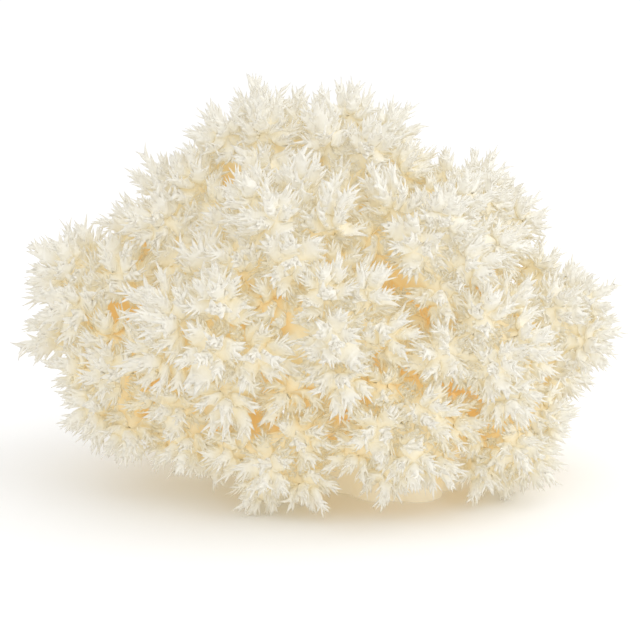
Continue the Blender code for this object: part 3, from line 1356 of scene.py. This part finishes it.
@dataclass
class Piece:
    """A finished surface that stands for a node of the frame."""

    node: str
    slot: str
    finish: bpy.types.Material
    name: str = "flesh"
    strand_stretch: float = 0.22
    strand_steps: tuple[float, float] = (7.3, 3.1)
    strand_spans: tuple[float, float] = (97.0, 89.0)
    grain_waves: int = 7
    wave_spread: float = 0.5
    tone_ends: tuple[float, float] = (1, 99)
    tone_margin: float = 0.02
    grain_margin: float = 0.01

    def place(self, skin: Skin, fingers: list[Finger]) -> bpy.types.Object:
        """Makes the object from its skin, and sets it in the frame.

        Args:
            skin: The finished skin, in millimetres.
            fingers: The fingers that its faces belong to.

        Returns:
            The object.
        """
        mesh = bpy.data.meshes.new(f"{self.node}_{self.name}")
        mesh.from_pydata((skin.points * MM).tolist(), [], skin.quads.tolist() + skin.tris.tolist())
        mesh.polygons.foreach_set("use_smooth", np.ones(len(mesh.polygons), bool))
        tone = mesh.attributes.new("tone", "FLOAT", "POINT")
        tone.data.foreach_set("value", skin.tone)
        strand = mesh.attributes.new("strand", "FLOAT_VECTOR", "POINT")
        strand.data.foreach_set("vector", self.strands(skin, fingers).ravel())
        self.add_map(mesh, skin)
        mesh.materials.append(self.finish)
        mesh.validate()
        thing = add_object(f"{self.node}_{self.name}", mesh)
        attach(thing, "root")
        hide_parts(self.node)
        return thing

    def strands(self, skin: Skin, fingers: list[Finger]) -> np.ndarray:
        """Sets each point in its own finger's axes, drawn out along the finger.

        Args:
            skin: The skin.
            fingers: The fingers that its faces belong to.

        Returns:
            The points' places there, those of each finger apart from the last one's.
        """
        owner = np.zeros(len(skin.points), int)
        quads, tris = len(skin.quads), len(skin.tris)
        owner[skin.tris] = skin.finger[quads : quads + tris, None]
        owner[skin.quads] = skin.finger[:quads, None]
        axes = [Matrix.Identity(3)]
        starts = [Vector()]
        for finger in fingers:
            axis = (finger.tip - finger.start).normalized()
            side = axis.orthogonal().normalized()
            axes.append(Matrix((side, axis.cross(side), axis * self.strand_stretch)))
            starts.append(finger.start)
        turned = np.array([[row[:] for row in matrix] for matrix in axes])[owner]
        away = skin.points - np.array([start[:] for start in starts])[owner]
        local = np.einsum("nij,nj->ni", turned, away)
        apart = np.arange(len(axes))[:, None] * self.strand_steps % self.strand_spans
        local[:, :2] += apart[owner]
        return local

    def add_map(self, mesh: bpy.types.Mesh, skin: Skin) -> None:
        """Adds a map by tone and grain, so that faces of one colour share a place on it.

        Args:
            mesh: The mesh.
            skin: The skin that it was made from.
        """
        dice = np.random.default_rng(SEED)
        grain = np.zeros(len(skin.points))
        for _ in range(self.grain_waves):
            way = dice.normal(0, self.wave_spread, 3)
            grain += np.sin(skin.points @ way + dice.uniform(0, math.tau))
        grain = 0.5 + grain / (2 * self.grain_waves)
        low, high = np.percentile(skin.tone, self.tone_ends)
        level = np.clip((skin.tone - low) / (high - low), 0, 1)
        level = self.tone_margin + (1 - 2 * self.tone_margin) * level
        uv = np.stack((level, np.clip(grain, self.grain_margin, 1 - self.grain_margin)), 1)
        loops = numbers(mesh.loops, "vertex_index", kind=int)
        mesh.uv_layers.new(name="OFBake").data.foreach_set("uv", uv[loops].ravel())


@dataclass
class ToothedLimbs:
    """The sub-assembly of all limbs: flesh, fingers and teeth."""

    finish: FleshFinish = field(default_factory=lambda: FleshFinish("toothed_flesh"))
    teeth: Teeth = field(default_factory=Teeth)
    ground: float = 0.15
    # These set the tone, which is painted shade: from how open each place is, along each finger,
    # by height, and on the stalks.
    tone_low: float = 0.06
    tone_high: float = 0.66
    painted_shade_along: float = 0.5
    most_stalk: float = 0.3
    painted_shade_by_height: float = 0.0032
    middle_height: float = 62.0
    cages: list[Cage] = field(default_factory=list)

    def shape(self, limbs: list[Limb], enclosure: Enclosure) -> None:
        """Builds the coarse form of every limb.

        Args:
            limbs: The limbs.
            enclosure: What closes places off, which takes them in.
        """
        self.cages = [Cage(limb) for limb in limbs]
        for cage in self.cages:
            cage.build()
            cage.close_off(enclosure)

    def dress(self, enclosure: Enclosure) -> None:
        """Rounds, gives painted shade by how open each place is, plants with teeth and places
        every limb.

        Args:
            enclosure: What closes places off.
        """
        material = self.finish.material()
        dice = np.random.default_rng(SEED)
        tones = ToneField()
        for cage in self.cages:
            for vert in cage.mesh.verts:
                tones.add(vert.co, enclosure.openness(vert.co, vert.normal))
        tones.settle()
        for cage in self.cages:
            skin = cage.rounded()
            # tone is painted shade: low where the cluster closes a place off, high where it is
            # open
            skin.tone = (tones.at(skin.points) - self.tone_low) / (self.tone_high - self.tone_low)
            # painted shade along each finger: darker toward its foot, paler toward its tip
            skin.tone += self.painted_shade_along * (skin.along - 0.5)
            # painted shade by height: lighter high on the cluster, darker low down
            skin.tone += self.painted_shade_by_height * (skin.points[:, 2] - self.middle_height)
            # off the fingers, on the stalks, forks and knobs, the painted shade is held deep
            stalk = skin.along == 0
            skin.tone[stalk] = np.minimum(skin.tone[stalk], self.most_stalk)
            skin = self.teeth.plant(skin, cage.fingers, dice)
            skin.points[:, 2] = np.maximum(skin.points[:, 2], self.ground)
            Piece(cage.limb.name, "frond_flesh", material).place(skin, cage.fingers)
            count = 2 * len(skin.quads) + len(skin.tris)
            log.info("%s: %d fingers, %d triangles", cage.limb.name, len(cage.fingers), count)


@dataclass(frozen=True)
class CutFinish(FleshFinish):
    """The cut face: pale spongy flesh with fine pores, browned at its edge."""

    stops: Stops = (
        (0.0, (0.62, 0.42, 0.22)),
        (0.12, (0.78, 0.62, 0.38)),
        (0.4, (0.85, 0.75, 0.52)),
        (1.0, (0.88, 0.81, 0.62)),
    )
    glow: float = 0.0
    grain_scale: float = 0.35
    grain_detail: float = 5.0
    grain_roughness: float = 0.65
    grain_shade: float = 0.5
    roughness: float = 0.62
    roughness_spread: float = 0.2
    bump: float = 0.5
    bump_height: float = 0.0004
    pore_scale: float = 0.9
    pore_depth: float = 0.6

    def height(self, sheet: Sheet, strand: bpy.types.NodeSocket, grain: Value) -> Value:
        """Returns the height of the relief: that of the grain and its pores."""
        texture = {"Vector": strand, "Scale": self.pore_scale}
        return grain + sheet.texture("ShaderNodeTexVoronoi", "Distance", texture) * self.pore_depth


@dataclass(frozen=True)
class Lobe:
    """A swelling of the trunk's foot: its angle in degrees, distance out, radius and height."""

    angle: float
    reach: float
    radius: float
    height: float


@dataclass
class CutTrunk:
    """The sub-assembly of the base: a lobed fleshy trunk with a flared stub for each limb."""

    # the trunk's flesh: painted shade by how open it is, and a warm painted glow
    flesh: FleshFinish = field(
        default_factory=lambda: FleshFinish(
            "trunk_flesh",
            stops=(
                (0.1, (0.92, 0.74, 0.42)),
                (0.35, (0.90, 0.77, 0.50)),
                (0.6, (0.87, 0.79, 0.58)),
                (1.0, (0.82, 0.77, 0.64)),
            ),
            glow_stops=((0.0, (0.62, 0.50, 0.30)), (1.0, (0.46, 0.40, 0.29))),
            glow=0.4,
            grain_scale=0.5,
        )
    )
    cut: CutFinish = field(default_factory=lambda: CutFinish("cut_flesh"))
    voxel: float = 0.95
    smoothing: int = 8
    ball_share: float = 0.985
    flare: float = 7.4
    flare_depth: float = 7.0
    stub_radius: float = 4.3
    stub_sides: int = 14
    lobes: tuple[Lobe, ...] = (
        Lobe(-148, 15.5, 7.6, 3.5),
        Lobe(-98, 17.0, 8.4, 3.0),
        Lobe(-64, 18.4, 8.8, 2.5),
        Lobe(-27, 16.5, 8.2, 4.0),
        Lobe(14, 15.0, 7.2, 3.0),
        Lobe(52, 15.0, 7.8, 5.0),
        Lobe(90, 14.5, 7.0, 2.5),
        Lobe(131, 15.5, 8.0, 4.5),
        Lobe(172, 15.0, 7.4, 2.0),
    )
    fold_height: float = 0.45
    fold_scale: float = 0.22
    fold_stretch: float = 0.25
    tone_lift: float = 0.25
    edge_tone: float = 3.0
    rings: tuple[float, ...] = (1.0, 0.975, 0.92, 0.75, 0.5, 0.25)
    points: Points = field(default_factory=list)
    normals: Points = field(default_factory=list)
    quads: list[list[int]] = field(default_factory=list)
    rim: Points = field(default_factory=list)

    def shape(self, limbs: list[Limb], enclosure: Enclosure) -> None:
        """Builds the trunk's skin and the rim of its cut.

        Args:
            limbs: The limbs that leave it.
            enclosure: What closes places off, which takes it in.
        """
        mesh = bmesh.new()
        self.add_body(mesh, limbs)
        merge = {"mode": "VOXEL", "voxel_size": self.voxel}
        fine = modified(mesh, {"REMESH": merge, "SMOOTH": {"iterations": self.smoothing}})
        mesh = bmesh.new()
        mesh.from_mesh(fine)
        bpy.data.meshes.remove(fine)
        self.fold(mesh)
        self.cut_flat(mesh)
        mesh.normal_update()
        mesh.verts.index_update()
        self.points = [vert.co.copy() for vert in mesh.verts]
        self.normals = [vert.normal.copy() for vert in mesh.verts]
        self.quads = [[vert.index for vert in face.verts] for face in mesh.faces]
        mesh.free()
        enclosure.take_in(self.points, self.quads)

    def add_body(self, mesh: bmesh.types.BMesh, limbs: list[Limb]) -> None:
        """Adds the ball, the flared stubs and the lobes of the foot, one through the other.

        Args:
            mesh: The mesh that they are added to.
            limbs: The limbs, each of which has a stub.
        """
        centre = PLAN.trunk_centre
        ball = Matrix.Translation(centre)
        radius = PLAN.trunk_radius * self.ball_share
        bmesh.ops.create_icosphere(mesh, subdivisions=4, radius=radius, matrix=ball)
        for limb in limbs:
            low = PLAN.trunk_radius - self.flare_depth
            high = PLAN.trunk_radius + PLAN.stub_length
            turn = limb.aim.to_track_quat("Z", "Y").to_matrix().to_4x4()
            place = Matrix.Translation(centre + limb.aim * (low + high) / 2) @ turn
            bmesh.ops.create_cone(
                mesh,
                cap_ends=True,
                segments=self.stub_sides,
                radius1=self.flare,
                radius2=self.stub_radius,
                depth=high - low,
                matrix=place,
            )
        for lobe in self.lobes:
            turn = math.radians(lobe.angle)
            spot = Vector((math.cos(turn) * lobe.reach, math.sin(turn) * lobe.reach, lobe.height))
            place = Matrix.Translation(spot)
            bmesh.ops.create_icosphere(mesh, subdivisions=3, radius=lobe.radius, matrix=place)

    def fold(self, mesh: bmesh.types.BMesh) -> None:
        """Presses soft upright folds into the skin.

        Args:
            mesh: The skin.
        """
        mesh.normal_update()
        for vert in mesh.verts:
            place = Vector((*vert.co.xy, vert.co.z * self.fold_stretch)) * self.fold_scale
            vert.co += vert.normal * noise.noise(place) * self.fold_height

    def cut_flat(self, mesh: bmesh.types.BMesh) -> None:
        """Cuts the skin at the ground and keeps the rim.

        Args:
            mesh: The skin.
        """
        everything = list(mesh.verts) + list(mesh.edges) + list(mesh.faces)
        ground = {"plane_co": (0, 0, 0), "plane_no": (0, 0, 1)}
        bmesh.ops.bisect_plane(mesh, geom=everything, clear_inner=True, **ground)
        open_edges = [edge for edge in mesh.edges if edge.is_boundary]
        rim = {vert for edge in open_edges for vert in edge.verts}
        for vert in rim:
            vert.co.z = 0.0
        self.rim = sorted((vert.co.copy() for vert in rim), key=lambda p: math.atan2(p.y, p.x))

    def dress(self, enclosure: Enclosure) -> None:
        """Gives the skin painted shade by how open it is, tones the cut face, and places both.

        Args:
            enclosure: What closes places off.
        """
        opens = map(enclosure.openness, self.points, self.normals)
        quads = [face for face in self.quads if len(face) == 4]
        tris = []
        for face in self.quads:
            if len(face) != 4:
                tris += [[face[0], face[i], face[i + 1]] for i in range(1, len(face) - 1)]
        # the skin's tone is painted shade: how open each point is, lifted by tone_lift
        skin = self.plain_skin(self.points, quads, tris, [self.tone_lift + part for part in opens])
        Piece("base", "base_flesh", self.flesh.material(), "trunk").place(skin, [])

        centre, count = mean(self.rim), len(self.rim)
        points = [centre.lerp(place, share) for share in self.rings for place in self.rim]
        tone = [min(1.0, (1 - share) * self.edge_tone) for share in self.rings for _ in self.rim]
        quads, tris = [], []
        for first in range(0, len(points) - count, count):
            for i in range(count):
                one, other = first + i, first + (i + 1) % count
                quads.append([other, one, one + count, other + count])
        last = len(points) - count
        tris = [[last + (i + 1) % count, last + i, len(points)] for i in range(count)]
        skin = self.plain_skin(points + [centre], quads, tris, tone + [1.0])
        Piece("base", "base_flesh", self.cut.material(), "cut").place(skin, [])
        log.info("base: %d faces, rim of %d points", len(self.quads), count)

    def plain_skin(
        self, points: Points, quads: list[list[int]], tris: list[list[int]], tone: list[float]
    ) -> Skin:
        """Returns a skin without fingers.

        Args:
            points: Its points.
            quads: Its faces of four corners.
            tris: Its faces of three corners.
            tone: How open each point is.

        Returns:
            The skin.
        """
        return Skin(
            np.array([point[:] for point in points]),
            np.array(quads, int).reshape(-1, 4),
            np.array(tris, int).reshape(-1, 3),
            np.zeros(len(quads) + len(tris), int),
            np.zeros(len(points)),
            np.array(tone),
        )


@dataclass
class Studio:
    """The pale floor, the soft light and the camera at the photograph's angle."""

    target: tuple[float, float, float] = (-0.0201, 0.0, 0.0495)
    distance: float = 0.5365
    elevation: float = math.radians(12)
    lens: float = 100.0
    floor_side: float = 6.0
    floor_shade: float = 0.95
    floor_roughness: float = 0.9
    sky: float = 1.06
    key_power: float = 4.2
    key_size: float = 1.5
    key_place: tuple[float, float, float] = (0.78, -0.22, 0.64)

    def build(self) -> None:
        """Builds the studio."""
        scene = bpy.context.scene
        scene.view_settings.view_transform = "Standard"
        self.add_floor()
        self.add_light()
        data = bpy.data.cameras.new("camera")
        data.lens = self.lens
        scene.camera = add_object("camera", data)
        away = Vector((0, -math.cos(self.elevation), math.sin(self.elevation)))
        scene.camera.location = Vector(self.target) + away * self.distance
        scene.camera.rotation_euler = (-away).to_track_quat("-Z", "Y").to_euler()

    def add_floor(self) -> None:
        """Adds the plain pale floor."""
        half = self.floor_side / 2
        mesh = bpy.data.meshes.new("floor")
        corners = [(-half, -half, 0), (half, -half, 0), (half, half, 0), (-half, half, 0)]
        mesh.from_pydata(corners, [], [(0, 1, 2, 3)])
        surface = {
            "Base Color": (self.floor_shade, self.floor_shade, self.floor_shade, 1),
            "Roughness": self.floor_roughness,
            "Specular IOR Level": 0.0,
        }
        mesh.materials.append(Sheet("pale_floor").dress(surface))
        add_object("floor", mesh)

    def add_light(self) -> None:
        """Adds the white surroundings and one large soft light from the upper right."""
        world = bpy.data.worlds.new("white_studio")
        world.use_nodes = True
        back = world.node_tree.nodes["Background"]
        back.inputs["Color"].default_value = (1, 1, 1, 1)
        back.inputs["Strength"].default_value = self.sky
        bpy.context.scene.world = world
        data = bpy.data.lights.new("key", "AREA")
        data.shape = "DISK"
        data.size = self.key_size
        data.energy = self.key_power
        key = add_object("key", data)
        key.location = self.key_place
        aim = Vector(self.target) - key.location
        key.rotation_euler = aim.to_track_quat("-Z", "Y").to_euler()


def main() -> None:
    """Builds the pieces in order."""
    logging.basicConfig(level=logging.INFO, format="%(name)s %(message)s")
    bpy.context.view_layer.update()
    Studio().build()
    limbs = Growth().limbs()
    enclosure = Enclosure()
    trunk, toothed = CutTrunk(), ToothedLimbs()
    trunk.shape(limbs, enclosure)
    toothed.shape(limbs, enclosure)
    trunk.dress(enclosure)
    toothed.dress(enclosure)


if __name__ == "__main__":
    main()
